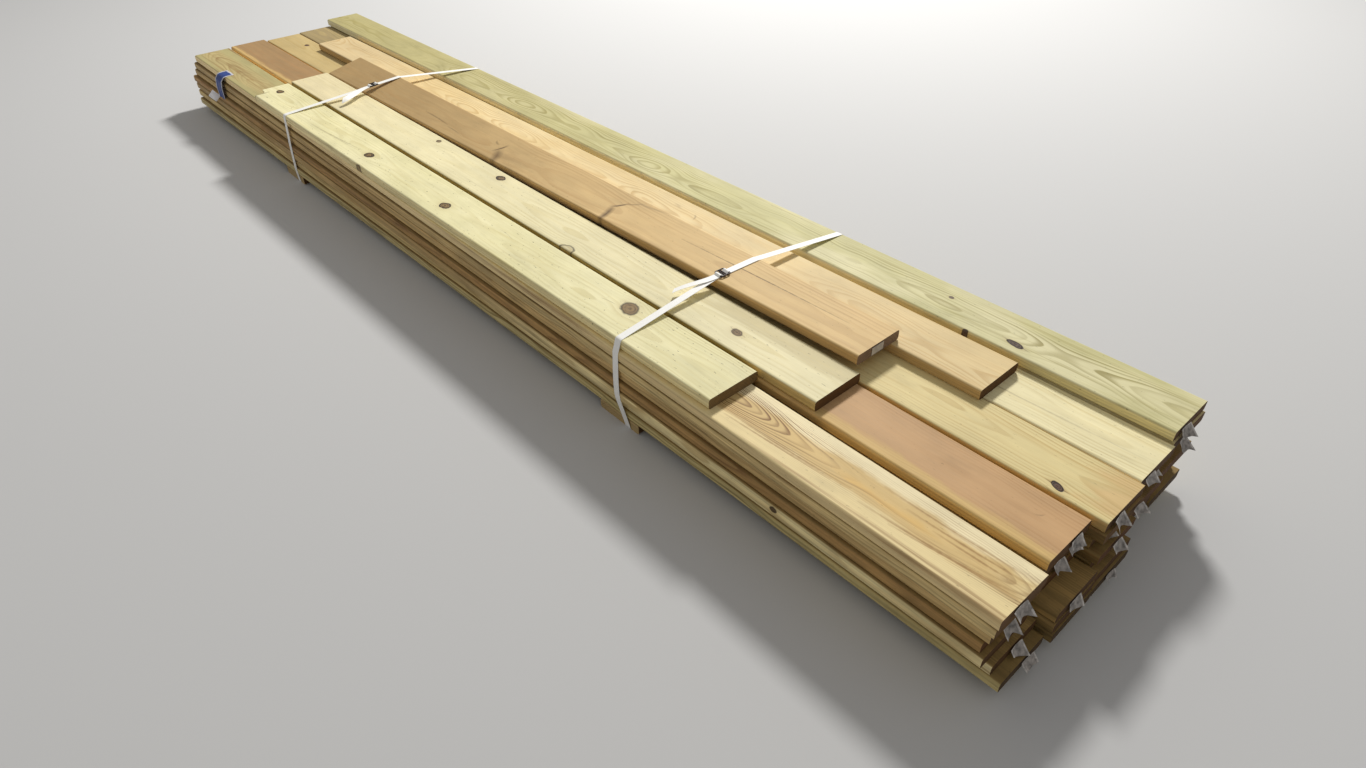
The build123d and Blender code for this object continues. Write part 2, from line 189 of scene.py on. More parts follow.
def cloud_noise(tree, place, scale, detail, rough=0.5, output="Fac"):
    """Noise on that place, with that many repeats in a unit, as one number or as a colour."""
    node = tree.nodes.new("ShaderNodeTexNoise")
    link(tree, place, node.inputs["Vector"])
    node.inputs["Scale"].default_value = scale
    node.inputs["Detail"].default_value = detail
    node.inputs["Roughness"].default_value = rough
    return node.outputs[output]


def ragged(tree, place, scale, depth):
    """Noise about zero that makes an outline uneven."""
    noise = calc(tree, "SUBTRACT", cloud_noise(tree, place, scale, 2.0), 0.5)
    return calc(tree, "MULTIPLY", noise, depth)


def emboss(tree, shader, height, strength, distance):
    """Fine relief of the shader's surface, from a height between 0 and 1 and its depth in metres."""
    node = tree.nodes.new("ShaderNodeBump")
    node.inputs["Strength"].default_value = strength
    node.inputs["Distance"].default_value = distance
    link(tree, height, node.inputs["Height"])
    link(tree, node.outputs["Normal"], shader.inputs["Normal"])


def knot_group():
    """Node group for one knot: an ellipse with a ringed core, a dark bark rim and a warm halo.

    The distance from its centre, in its own reaches, gives all three, and draws the grain in towards it.
    Fill is how solid its core is, and Bark how dark its rim and the rings and spots in its core are.
    """
    vector, number = "NodeSocketVector", "NodeSocketFloat"
    group, given, result = board_group("knot", ("Grain", "Core", "Rim", "Halo"),
                                       {"Place": vector, "Centre": vector, "Reach": vector, "Turn": number,
                                        "Fill": number, "Bark": number})
    do = partial(calc, group)
    away = vector_math(group, "SUBTRACT", given["Place"], given["Centre"])
    turned = group.nodes.new("ShaderNodeVectorRotate")
    turned.rotation_type = "Z_AXIS"
    link(group, away, turned.inputs["Vector"])
    link(group, given["Turn"], turned.inputs["Angle"])
    own = vector_math(group, "DIVIDE", turned.outputs["Vector"], given["Reach"])
    straight = vector_math(group, "LENGTH", own)
    distance = do("ADD", straight, ragged(group, given["Place"], 70.0, 0.5))
    core = do("MULTIPLY", do("SUBTRACT", 1.05, distance), 6.0, clamp=True)
    core = do("MULTIPLY", core, given["Fill"])
    off_edge = do("ABSOLUTE", do("SUBTRACT", distance, 0.98))
    rim = do("SUBTRACT", 1.0, do("MULTIPLY", off_edge, 4.5), clamp=True)
    rings = do("SINE", do("MULTIPLY", straight, 13.0), clamp=True)
    dark_spots = do("MULTIPLY_ADD", rings, 0.5, ragged(group, given["Place"], 130.0, 1.6))
    rim = do("MAXIMUM", rim, do("MULTIPLY", core, dark_spots))
    rim = do("MULTIPLY", rim, given["Bark"])
    squared = do("MULTIPLY", distance, distance)
    halo = do("EXPONENT", do("MULTIPLY", squared, -0.55))
    halo = do("MULTIPLY", halo, given["Fill"])
    for name, value in (("Core", core), ("Rim", rim), ("Halo", halo)):
        link(group, do("MAXIMUM", value, given[name]), result[name])
    pull = do("MULTIPLY", do("EXPONENT", do("MULTIPLY", squared, -0.25)), 0.85)
    drawn_in = vector_math(group, "MULTIPLY", away, combine(group, 0.0, pull, 0.0))
    link(group, vector_math(group, "SUBTRACT", given["Grain"], drawn_in), result["Grain"])
    return group


def mark_group():
    """Node group for one thin line, such as a drying check, a scratch or the ridge of a grown-over branch.

    The nearest point of a straight run from Start to End, pushed aside by Bow at its middle, gives the
    distance, and the line fades out over its Width and towards its ends.
    """
    vector, number = "NodeSocketVector", "NodeSocketFloat"
    group, given, result = board_group("mark", ("Mark",),
                                       {"Place": vector, "Start": vector, "End": vector,
                                        "Width": number, "Bow": number, "Strength": number})
    do, steer = partial(calc, group), partial(vector_math, group)

    def scaled(direction, length):
        node = group.nodes.new("ShaderNodeVectorMath")
        node.operation = "SCALE"
        link(group, direction, node.inputs[0])
        link(group, length, node.inputs["Scale"])
        return node.outputs[0]

    away = steer("SUBTRACT", steer("MULTIPLY", given["Place"], (1.0, 1.0, 0.0)), given["Start"])
    run = steer("SUBTRACT", given["End"], given["Start"])
    share = do("DIVIDE", steer("DOT_PRODUCT", away, run), steer("DOT_PRODUCT", run, run), clamp=True)
    hump = do("MULTIPLY", do("MULTIPLY", share, do("SUBTRACT", 1.0, share)), 4.0)
    sideways = steer("NORMALIZE", steer("CROSS_PRODUCT", run, (0.0, 0.0, 1.0)))
    nearest = steer("ADD", scaled(run, share), scaled(sideways, do("MULTIPLY", hump, given["Bow"])))
    off = steer("LENGTH", steer("SUBTRACT", away, nearest))
    distance = do("ABSOLUTE", do("ADD", off, ragged(group, given["Place"], 90.0, 0.003)))
    near = do("SUBTRACT", 1.0, do("DIVIDE", distance, given["Width"]), clamp=True)
    fade = do("MULTIPLY_ADD", hump, 0.75, 0.25)
    mark = do("MULTIPLY", do("MULTIPLY", near, fade), given["Strength"])
    link(group, do("MAXIMUM", mark, given["Mark"]), result["Mark"])
    return group


knot, mark = knot_group(), mark_group()


def softwood(name, origin, skew, pale, late, tint=None, far=None, side=None, side_far=None, top=None,
             calm=None, zones=(), knots=(), marks=(), knot_tone=(0.44, 0.31, 0.20),
             mark_tone=(0.30, 0.20, 0.11), contrast=0.6, spacing=0.005, pith=(0.07, -0.03), dive=0.05,
             taper=0.0, figure=None, mottle=0.40, flecks=0.3, seed=0.0, end_tone=(0.36, 0.25, 0.14),
             pitch=None, dirt=0.15):
    """Planed softwood for one board, or for a row of boards one pitch apart.

    Place is the object coordinate taken to the board's own near left corner and direction. The ring number
    is the distance from the pith over the ring spacing, and its fraction gives each ring's pale early wood
    and darker late wood. The pith dives along the board, which draws the rings out into arches.

    Colours: pale and tint are the early wood's two shades, late the late wood's, side the edges', the row
    shade a row's upper faces' and the left sides' of all but a row's first board, a dark brown of painted
    shade, end_tone the sawn ends'. far and side_far hold a colour and how far back it comes in.
    Figure holds the band of strong rings and their share outside it, calm how far back they weaken.
    Zones hold a colour, its place and strength, knots and marks what their node groups ask for. Pith is
    where the rings' middle lies across and through the near end, and taper how it rises with each metre.
    """
    material, tree, shader = new_material(name)
    do, join, mix = partial(calc, tree), partial(combine, tree), partial(colour_mix, tree)

    def new(kind, **settings):
        node = tree.nodes.new("ShaderNode" + kind)
        for key, value in settings.items():
            setattr(node, key, value)
        return node

    def noise(scales, shift=0.0, detail=2.0, rough=0.5, output="Fac"):
        """Noise drawn out along the grain: scales are repeats in a metre along, across and through."""
        stretched = vector_math(tree, "MULTIPLY_ADD", place, scales, join(own, shift, own))
        return cloud_noise(tree, stretched, 1.0, detail, rough, output)

    def smooth(value, low, high):
        node = new("MapRange", interpolation_type="SMOOTHSTEP")
        link(tree, value, node.inputs["Value"])
        node.inputs["From Min"].default_value = low
        node.inputs["From Max"].default_value = high
        return node.outputs[0]

    def chance(number):
        """A share from 0 to 1 that is the same for the same number."""
        node = new("TexWhiteNoise", noise_dimensions="1D")
        link(tree, number, node.inputs["W"])
        return node.outputs["Value"]

    def group_node(group, **given):
        """Node of a knot's or mark's group, with each of its sockets set or joined."""
        node = new("Group", node_tree=group)
        for socket, value in given.items():
            link(tree, value, node.inputs[socket])
        return node

    def between(value, low, high, soft):
        """1 between low and high, fading to 0 over the soft distance on either side."""
        return do("MULTIPLY", smooth(value, low - soft, low + soft),
                  do("SUBTRACT", 1.0, smooth(value, high - soft, high + soft)))

    def rgba(colour):
        """Linear value of a colour that is written as it looks on a screen."""
        return tuple(c / 12.92 if c <= 0.04045 else ((c + 0.055) / 1.055) ** 2.4 for c in colour) + (1.0,)

    def back_from(low, high):
        """0 up to low metres behind the near end, rising to 1 at high."""
        return smooth(do("MULTIPLY", along, -1.0), low, high)

    coordinates = new("TexCoord")
    at_corner = new("Mapping", vector_type="TEXTURE")
    link(tree, coordinates.outputs["Object"], at_corner.inputs["Vector"])
    at_corner.inputs["Location"].default_value = origin
    at_corner.inputs["Rotation"].default_value = (0, 0, skew)
    place = at_corner.outputs[0]
    own = seed
    along, across, height = separate(tree, place)
    if pitch:
        board_number = do("FLOOR", do("DIVIDE", across, pitch))
        across = do("SUBTRACT", across, do("MULTIPLY", board_number, pitch))
        place = join(along, across, height)
        own = do("MULTIPLY_ADD", board_number, 3.7, seed)

    carried = {"Grain": place, "Core": 0.0, "Rim": 0.0, "Halo": 0.0}
    for centre, reach, turn, fill, bark in knots:
        node = group_node(knot, Place=place, Centre=(*centre, 0.0)[:3], Reach=(*reach, 1.0)[:3],
                          Turn=radians(turn), Fill=fill, Bark=bark, **carried)
        carried = {socket: node.outputs[socket] for socket in carried}
    lines = 0.0
    for start, end, width, bow, strength in marks:
        node = group_node(mark, Mark=lines, Place=place, Start=(*start, 0.0), End=(*end, 0.0), Width=width,
                          Bow=bow, Strength=strength)
        lines = node.outputs["Mark"]

    _, bent_y, bent_z = separate(tree, carried["Grain"])
    slow = separate(tree, noise((1.9, 3.0, 0.0), output="Color"))
    ripple = noise((6.0, 30.0, 30.0), 3.0, 2.5)
    off_y = do("ADD", do("SUBTRACT", bent_y, pith[0]),
               do("MULTIPLY", do("SUBTRACT", slow[0], 0.5), 0.035))
    off_z = do("ADD", do("MULTIPLY_ADD", along, taper, do("SUBTRACT", bent_z, pith[1])),
               do("MULTIPLY", do("SUBTRACT", slow[1], 0.5), dive))
    radius = do("SQRT", do("ADD", do("MULTIPLY", off_y, off_y), do("MULTIPLY", off_z, off_z)))
    ring = do("ADD", do("DIVIDE", radius, spacing), do("MULTIPLY", ripple, 0.9))
    share = do("FRACT", ring)
    late_wood = do("MULTIPLY", smooth(share, 0.30, 0.86), do("SUBTRACT", 1.0, smooth(share, 0.90, 1.0)))
    late_wood = do("MULTIPLY", late_wood, do("MULTIPLY_ADD", chance(do("FLOOR", ring)), 0.75, 0.25))
    patch = noise((1.6, 9.0, 9.0), 5.0, 2.0)
    late_wood = do("MULTIPLY", late_wood, smooth(patch, 0.28, 0.60))
    if figure:
        low, high, least = figure
        wavering = do("ADD", across, do("MULTIPLY", do("SUBTRACT", slow[2], 0.5), 0.04))
        shown = do("MULTIPLY_ADD", between(wavering, low, high, 0.010), 1.0 - least, least)
        late_wood = do("MULTIPLY", late_wood, shown)
    if calm:
        late_wood = do("MULTIPLY", late_wood, do("MULTIPLY_ADD", back_from(*calm), -0.6, 1.0))

    fibre = noise((11.0, 560.0, 560.0), 1.0, 3.0, 0.6)
    streak = noise((1.6, 64.0, 64.0), 7.0, 3.0, 0.6)
    cloud = noise((6.5, 19.0, 19.0), 11.0, 4.0, 0.6)
    blotch = noise((2.6, 9.0, 9.0), 13.0, 3.0, 0.6)

    body = mix(smooth(blotch, 0.36, 0.64), rgba(tint or pale), rgba(pale))
    if far:
        body = mix(back_from(*far[1]), body, rgba(far[0]))
    for colour, x_range, y_range, strength in zones:
        waver = do("SUBTRACT", cloud, 0.5)
        in_x = between(do("MULTIPLY_ADD", waver, 0.25, along), *x_range, 0.04)
        in_y = between(do("MULTIPLY_ADD", waver, 0.05, across), *y_range, 0.008)
        body = mix(do("MULTIPLY", do("MULTIPLY", in_x, in_y), strength), body, rgba(colour))
    if pitch:
        body = mix(do("MULTIPLY", chance(own), 0.3), body, rgba(late))
    facing_x, facing_y, facing_z = separate(tree, coordinates.outputs["Normal"])
    on_side = smooth(do("ABSOLUTE", facing_y), 0.55, 0.9)
    if side:
        edge_wood = rgba(side)
        if side_far:
            edge_wood = mix(back_from(*side_far[1]), edge_wood, rgba(side_far[0]))
        body = mix(on_side, body, edge_wood)
    # Painted shade: a row's upper faces, which show only in the recesses under the rows above, and the left
    # sides of all but the first board of a row, which face the gaps, take one dark brown.
    if top:
        body = mix(smooth(facing_z, 0.55, 0.9), body, rgba(top))
        shaded_gap_sides = do("MULTIPLY", do("GREATER_THAN", board_number, 0.5), do("LESS_THAN", facing_y, -0.5))
        body = mix(shaded_gap_sides, body, rgba(top))
    wood = mix(do("MULTIPLY", late_wood, contrast), body, rgba(late))
    wood = mix(do("MULTIPLY", smooth(streak, 0.50, 0.74), 0.55 * contrast), wood, rgba(late))
    tone = do("MULTIPLY_ADD", do("SUBTRACT", fibre, 0.5), 0.22, 1.0)
    tone = do("MULTIPLY_ADD", do("SUBTRACT", cloud, 0.5), mottle, tone)
    tone = do("MULTIPLY_ADD", do("SUBTRACT", streak, 0.5), 0.6 * mottle, tone)
    edge_grain = noise((1.3, 0.0, 190.0), 29.0, 3.0, 0.6)
    tone = do("MULTIPLY_ADD", do("MULTIPLY", do("SUBTRACT", edge_grain, 0.5), on_side), 1.4, tone)
    smudge = noise((4.0, 9.0, 9.0), 17.0, 4.0, 0.65)
    tone = do("MULTIPLY", tone, do("SUBTRACT", 1.0, do("MULTIPLY", smooth(smudge, 0.56, 0.78), dirt)))
    fleck = noise((90.0, 260.0, 260.0), 19.0, 2.0)
    tone = do("MULTIPLY", tone, do("SUBTRACT", 1.0, do("MULTIPLY", smooth(fleck, 0.68, 0.76), flecks)))
    wood = mix(1.0, wood, join(tone, tone, tone), "MULTIPLY")

    wood = mix(do("MULTIPLY", carried["Halo"], 0.38), wood, rgba((0.66, 0.50, 0.27)))
    wood = mix(do("MULTIPLY", carried["Core"], 0.92), wood, rgba(knot_tone))
    wood = mix(do("MULTIPLY", carried["Rim"], 0.85), wood, rgba((0.17, 0.11, 0.07)))
    wood = mix(lines, wood, rgba(mark_tone))

    cut_end = smooth(do("ABSOLUTE", facing_x), 0.7, 0.8)
    saw = noise((0.0, 70.0, 70.0), 23.0, 3.0)
    end_rings = do("MULTIPLY_ADD", late_wood, -0.35, do("MULTIPLY_ADD", saw, 0.6, 0.75))
    end_wood = mix(1.0, rgba(end_tone), join(end_rings, end_rings, end_rings), "MULTIPLY")
    wood = mix(cut_end, wood, end_wood)
    link(tree, wood, shader.inputs["Base Color"])

    polish = do("MULTIPLY_ADD", fibre, 0.16, 0.54)
    link(tree, do("ADD", polish, do("MULTIPLY", cut_end, 0.2)), shader.inputs["Roughness"])
    shader.inputs["Specular IOR Level"].default_value = 0.3
    relief = do("MULTIPLY_ADD", fibre, 0.5, do("MULTIPLY", carried["Rim"], -0.8))
    relief = do("ADD", do("MULTIPLY", late_wood, 0.35), do("MULTIPLY_ADD", lines, -1.0, relief))
    emboss(tree, shader, relief, 0.5, 0.0006)
    return material


def dress_board(node, skew=0.0, **look):
    """Give a carried-over CAD node its wood, set out from the near left lower corner of its box."""
    low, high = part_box(node)
    mesh = nodes[node].data
    mesh.materials.clear()
    mesh.materials.append(softwood(node, (high.x, low.y, low.z), skew, **look))


for bearer_name, seed in (("bearer_front", 1.3), ("bearer_rear", 4.1)):
    dress_board(bearer_name, radians(90), pale=(0.72, 0.62, 0.43), late=(0.52, 0.40, 0.24), seed=seed,
                dirt=0.4)

# Rows under the second: six courses of five boards, stacked tight, so only their edges and ends show.
# They have weathered more than the top, browner or olive from row to row. Their pale colours are also lifted
# above the wood's own, rows 6 and 7 most: painted fill light on the shaded left side.
row_looks = {
    "row_3_boards": dict(pale=(0.86, 0.76, 0.53), late=(0.54, 0.40, 0.23), end_tone=(0.40, 0.29, 0.15),
                         far=((0.79, 0.68, 0.46), (0.9, 1.8))),
    "row_4_boards": dict(pale=(0.82, 0.70, 0.47), late=(0.52, 0.39, 0.23), end_tone=(0.36, 0.25, 0.12)),
    "row_5_boards": dict(pale=(0.75, 0.60, 0.37), late=(0.48, 0.33, 0.17), end_tone=(0.36, 0.23, 0.10)),
    "row_6_boards": dict(pale=(1.00, 0.93, 0.70), late=(0.68, 0.55, 0.33), end_tone=(0.33, 0.22, 0.10),
                         far=((0.74, 0.63, 0.43), (0.9, 1.8)), knot_tone=(0.30, 0.22, 0.14),
                         knots=[((-0.495, 0.0, 0.016), (0.009, 0.02, 0.006), 0, 1.0, 1.0)]),
    "row_7_boards": dict(pale=(1.00, 0.94, 0.73), late=(0.68, 0.56, 0.35), end_tone=(0.33, 0.22, 0.10),
                         far=((0.88, 0.78, 0.54), (0.9, 1.8))),
    "row_8_boards": dict(pale=(0.82, 0.75, 0.52), late=(0.52, 0.44, 0.26), end_tone=(0.30, 0.22, 0.11),
                         far=((0.82, 0.75, 0.53), (0.9, 1.8))),
}
boards_in_a_row = 5
for row_index, (row_name, look) in enumerate(row_looks.items()):
    low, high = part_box(row_name)
    # Every row's upper faces and the left sides of all but its first board take one dark brown: painted shade
    # for the recesses and gaps.
    dress_board(row_name, contrast=0.85, seed=2.3 + 1.9 * row_index, pitch=(high.y - low.y) / boards_in_a_row,
                dirt=0.35, mottle=0.9, top=(0.56, 0.46, 0.27), pith=(0.05, -0.02 + 0.01 * row_index), **look)

# Second row: five full boards whose near ends show in front of the loose top row, golden, reddish and
# pale yellow from left to right. The first has a bold arched figure down its middle.
second_looks = [
    dict(pale=(0.955, 0.870, 0.650), late=(0.50, 0.33, 0.14), contrast=1.35, spacing=0.0026,
         pith=(0.086, -0.034), calm=(1.0, 2.2), dive=0.05, taper=0.050, figure=(0.042, 0.118, 0.12),
         far=((0.72, 0.675, 0.47), (1.6, 2.9)),
         side=(0.89, 0.79, 0.58), side_far=((0.98, 0.88, 0.66), (1.0, 2.0)), end_tone=(0.40, 0.29, 0.18),
         mark_tone=(0.58, 0.40, 0.17),
         zones=[((0.84, 0.71, 0.46), (-1.2, -0.02), (0.046, 0.120), 0.8),
                ((0.77, 0.69, 0.48), (-3.8, -1.3), (0.046, 0.120), 0.6),
                ((0.90, 0.72, 0.38), (-0.36, -0.16), (0.066, 0.082), 0.5),
                ((0.985, 0.925, 0.755), (-0.75, 0.10), (0.104, 0.16), 0.9)],
         marks=[((-3.19, 0.080), (-3.28, 0.082), 0.004, 0.003, 0.5),
                ((-3.31, 0.076), (-3.40, 0.078), 0.004, 0.003, 0.5),
                ((-0.64, 0.034), (-0.38, 0.046), 0.0030, 0.001, 0.7),
                ((-0.60, 0.042), (-0.34, 0.055), 0.0030, 0.002, 0.7),
                ((-0.31, 0.040), (-0.008, 0.057), 0.0038, 0.002, 0.75),
                ((-0.24, 0.036), (-0.006, 0.065), 0.0034, 0.002, 0.75),
                ((-0.30, 0.102), (-0.007, 0.108), 0.0032, 0.002, 0.65),
                ((-0.24, 0.087), (-0.005, 0.096), 0.0034, 0.002, 0.7),
                ((-0.18, 0.078), (-0.003, 0.083), 0.0032, 0.001, 0.7)]),
    # Painted fill light: this board's side colour is lifted paler than the wood's own, on the left side in
    # the gap by the first board.
    dict(pale=(0.795, 0.64, 0.455), late=(0.68, 0.50, 0.31), contrast=0.45, side=(0.88, 0.74, 0.47),
         far=((0.655, 0.53, 0.365), (1.6, 2.9)),
         zones=[((0.86, 0.73, 0.47), (-3.7, 0.1), (-0.02, 0.022), 0.9)],
         marks=[((-0.075, 0.078), (-0.060, 0.090), 0.0025, 0.003, 0.35)]),
    dict(pale=(0.895, 0.825, 0.600), late=(0.72, 0.60, 0.35), contrast=0.6, side=(0.80, 0.66, 0.42),
         far=((0.78, 0.69, 0.48), (1.6, 2.9)),
         knots=[((-0.105, 0.020), (0.013, 0.007), 25, 1.0, 2.2),
                ((-3.481, 0.095), (0.012, 0.008), 0, 1.0, 1.0)],
         knot_tone=(0.34, 0.22, 0.20), zones=[((0.86, 0.73, 0.51), (-0.055, 0.1), (0.02, 0.16), 0.8)],
         marks=[((-0.080, 0.017), (-0.130, 0.022), 0.0022, 0.0, 0.8)]),
    dict(pale=(0.96, 0.915, 0.73), late=(0.78, 0.69, 0.44), contrast=0.55,
         far=((0.63, 0.555, 0.395), (1.6, 2.9)),
         marks=[((-0.62, 0.052), (-0.02, 0.060), 0.0035, 0.004, 0.35)]),
    dict(pale=(0.86, 0.80, 0.60), late=(0.74, 0.64, 0.41)),
]
for board_index, look in enumerate(second_looks, start=1):
    dress_board(f"second_row_board_{board_index}", seed=21.0 + 2.7 * board_index, **look)

# Loose top row: shorter and longer boards thrown on last, pale cream, tan and greenish, the first, second
# and fifth with their own knots. Knots and marks are given from each board's near left corner, behind it and
# to the right.
top_looks = {
    "top_board_1": dict(
        pale=(0.955, 0.925, 0.745), late=(0.74, 0.67, 0.41), tint=(0.915, 0.885, 0.69), contrast=0.45,
        spacing=0.006, flecks=0.7, side=(0.93, 0.86, 0.64), side_far=((0.98, 0.91, 0.69), (1.0, 2.0)),
        end_tone=(0.48, 0.39, 0.25),
        knots=[((-0.358, 0.105), (0.025, 0.019), 20, 1.0, 1.0),
               ((-1.096, 0.058), (0.017, 0.013), 0, 1.0, 1.9),
               ((-1.551, 0.061), (0.017, 0.012), 0, 1.0, 2.4), ((-2.275, 0.080), (0.015, 0.011), 0, 1.0, 2.6),
               ((-1.512, -0.003), (0.020, 0.009), 0, 0.8, 0.9)],
        marks=[((-0.395, 0.092), (-0.440, 0.084), 0.0018, 0.002, 0.4),
               ((-0.560, 0.050), (-0.640, 0.047), 0.0020, 0.002, 0.25),
               ((-0.810, 0.088), (-0.880, 0.094), 0.0030, 0.003, 0.22),
               ((-1.940, 0.034), (-1.600, 0.062), 0.0030, 0.003, 0.45),
               ((-1.868, 0.033), (-1.590, 0.052), 0.0022, -0.002, 0.35),
               ((-2.299, -0.010), (-2.300, 0.050), 0.0070, 0.0, 0.7)],
        knot_tone=(0.54, 0.43, 0.27)),
    "top_board_2": dict(
        pale=(0.93, 0.89, 0.72), late=(0.78, 0.71, 0.47), contrast=0.45, spacing=0.006, flecks=0.5,
        far=((0.90, 0.845, 0.68), (1.7, 2.4)), side=(0.82, 0.71, 0.46),
        # Painted shade: from 0.14 m back the left side turns dark brown where it lies in the gap beside the
        # first board.
        side_far=((0.56, 0.48, 0.24), (0.14, 0.22)), end_tone=(0.37, 0.26, 0.14),
        knots=[((-0.274, 0.065), (0.014, 0.010), 15, 1.0, 1.0),
               ((-0.823, 0.009), (0.024, 0.017), 0, 0.2, 1.0),
               ((-1.284, 0.113), (0.016, 0.011), 0, 1.0, 2.4),
               ((-1.644, 0.118), (0.009, 0.007), 0, 0.8, 2.0)],
        # The darker zone along the right edge near the end is partly darker streaky grain and partly painted
        # shadow cast by the raised third board.
        zones=[((0.80, 0.745, 0.57), (-0.42, 0.10), (0.095, 0.16), 0.7)],
        marks=[((-0.300, 0.071), (-0.250, 0.066), 0.0018, 0.003, 0.6)],
        knot_tone=(0.50, 0.40, 0.27)),
    "top_board_3": dict(
        pale=(0.875, 0.750, 0.525), late=(0.68, 0.53, 0.33), contrast=0.5, spacing=0.007,
        far=((0.70, 0.585, 0.40), (0.3, 2.3)), side=(0.80, 0.65, 0.42), end_tone=(0.52, 0.43, 0.36),
        marks=[((-0.088, 0.100), (-0.610, 0.087), 0.0024, 0.001, 0.8),
               ((-0.849, 0.000), (-0.870, 0.074), 0.0140, 0.006, 0.85),
               ((-0.875, 0.070), (-0.848, 0.112), 0.0055, 0.003, 1.0),
               ((-0.862, 0.096), (-0.812, 0.140), 0.0045, 0.003, 0.5),
               ((-0.835, 0.130), (-0.730, 0.147), 0.0065, 0.003, 0.35),
               ((-1.358, -0.004), (-1.406, 0.060), 0.0200, 0.008, 0.65),
               ((-1.414, 0.046), (-1.401, 0.090), 0.0065, 0.003, 0.95),
               ((-1.458, 0.088), (-1.429, 0.077), 0.0050, 0.003, 0.5),
               ((-1.690, 0.050), (-1.840, 0.056), 0.0035, 0.002, 0.55),
               ((-1.600, 0.040), (-1.680, 0.044), 0.0030, 0.001, 0.4)],
        zones=[((0.93, 0.80, 0.58), (-0.845, -0.815), (0.0, 0.10), 0.5),
               ((0.84, 0.71, 0.50), (-1.342, -1.310), (0.0, 0.08), 0.5)]),
    "top_board_4": dict(
        pale=(0.92, 0.835, 0.64), late=(0.72, 0.56, 0.30), tint=(0.90, 0.80, 0.585), contrast=0.6,
        far=((0.85, 0.76, 0.58), (2.1, 2.9)), side=(0.79, 0.66, 0.44), end_tone=(0.35, 0.24, 0.13),
        pith=(0.07, -0.02), dive=0.10, spacing=0.0062, figure=(0.020, 0.120, 0.35),
        zones=[((0.885, 0.79, 0.585), (-0.55, 0.1), (-0.02, 0.16), 0.9)],
        marks=[((-0.918, 0.086), (-0.935, 0.108), 0.0040, 0.003, 0.45),
               ((-0.990, 0.105), (-1.020, 0.112), 0.0070, 0.002, 0.25)]),
    "top_board_5": dict(
        pale=(0.88, 0.85, 0.67), late=(0.58, 0.53, 0.28), tint=(0.80, 0.775, 0.56), contrast=0.95,
        pith=(0.062, -0.030), spacing=0.0050, dive=0.09, figure=(0.028, 0.112, 0.25),
        # Painted light: side and side_far lift the left side, which faces away from the lamp, paler than the
        # wood's own, most from 0.45 m back.
        far=((0.72, 0.68, 0.475), (1.0, 3.3)), side=(0.92, 0.86, 0.63),
        side_far=((1.0, 0.97, 0.80), (0.45, 1.0)), flecks=0.5,
        knots=[((-0.355, 0.036), (0.018, 0.008), 10, 1.0, 2.2),
               ((-0.457, 0.004), (0.007, 0.004), 0, 1.0, 1.0),
               ((-0.552, 0.092), (0.006, 0.005), 0, 0.9, 0.8)],
        marks=[((-0.390, 0.042), (-0.318, 0.031), 0.0022, 0.0, 0.7)],
        knot_tone=(0.34, 0.26, 0.25)),
}
for board_index, (board_name, look) in enumerate(top_looks.items()):
    dress_board(board_name, seed=40.0 + 3.1 * board_index, **look)


# Straps: two woven white polyester straps, each pulled taut round the stack and under its bearer and
# threaded back through its buckle. The loop follows the outermost points of the boards at its place.
def section_points(node, x):
    """Points (y, z) where the edges of a CAD node cross the plane at x."""
    mesh = nodes[node].data
    place = np.empty(len(mesh.vertices) * 3)
    mesh.vertices.foreach_get("co", place)
    place = place.reshape(-1, 3)
    ends = np.empty(len(mesh.edges) * 2, int)
    mesh.edges.foreach_get("vertices", ends)
    start, stop = place[ends.reshape(-1, 2)[:, 0]], place[ends.reshape(-1, 2)[:, 1]]
    crossing = (start[:, 0] - x) * (stop[:, 0] - x) < 0
    start, stop = start[crossing], stop[crossing]
    share = (x - start[:, :1]) / (stop[:, :1] - start[:, :1])
    return (start + share * (stop - start))[:, 1:]


def grid_mesh(name, points, uv=None, wrap_u=False, wrap_v=False):
    """Mesh of four-sided faces on a grid of points (rows, columns, 3), closed round either way if asked."""
    rows, columns = points.shape[:2]
    number = np.arange(rows * columns).reshape(rows, columns)
    if wrap_u:
        number = np.vstack((number, number[:1]))
    if wrap_v:
        number = np.hstack((number, number[:, :1]))
    faces = np.stack((number[:-1, :-1], number[:-1, 1:], number[1:, 1:], number[1:, :-1]), axis=-1)
    faces = faces.reshape(-1, 4)
    mesh = bpy.data.meshes.new(name)
    mesh.from_pydata(points.reshape(-1, 3), [], faces.tolist())
    if uv is not None:
        layer = mesh.uv_layers.new(name="weave")
        layer.data.foreach_set("uv", uv.reshape(-1, 2)[faces.ravel() % (rows * columns)].ravel())
    mesh.polygons.foreach_set("use_smooth", [True] * len(mesh.polygons))
    piece = bpy.data.objects.new(name, mesh)
    bpy.context.scene.collection.objects.link(piece)
    return piece


strap_width, strap_thickness, off_the_boards, slanted_tip = 0.019, 0.0009, 0.0007, 0.018
cord_pitch, thread_pitch = 0.00145, 0.0022
wire_diameter, frame_half_length = 0.0035, 0.01275


def run_length(line):
    """Length along a line up to each of its points."""
    return np.concatenate(([0], np.cumsum(np.linalg.norm(np.diff(line, axis=0), axis=1))))


def directions(line, closed):
    """Unit direction of a line at each of its points, from the point before to the point after."""
    along = np.roll(line, -1, axis=0) - np.roll(line, 1, axis=0)
    if not closed:
        along[0], along[-1] = line[1] - line[0], line[-1] - line[-2]
    return along / np.linalg.norm(along, axis=1, keepdims=True)


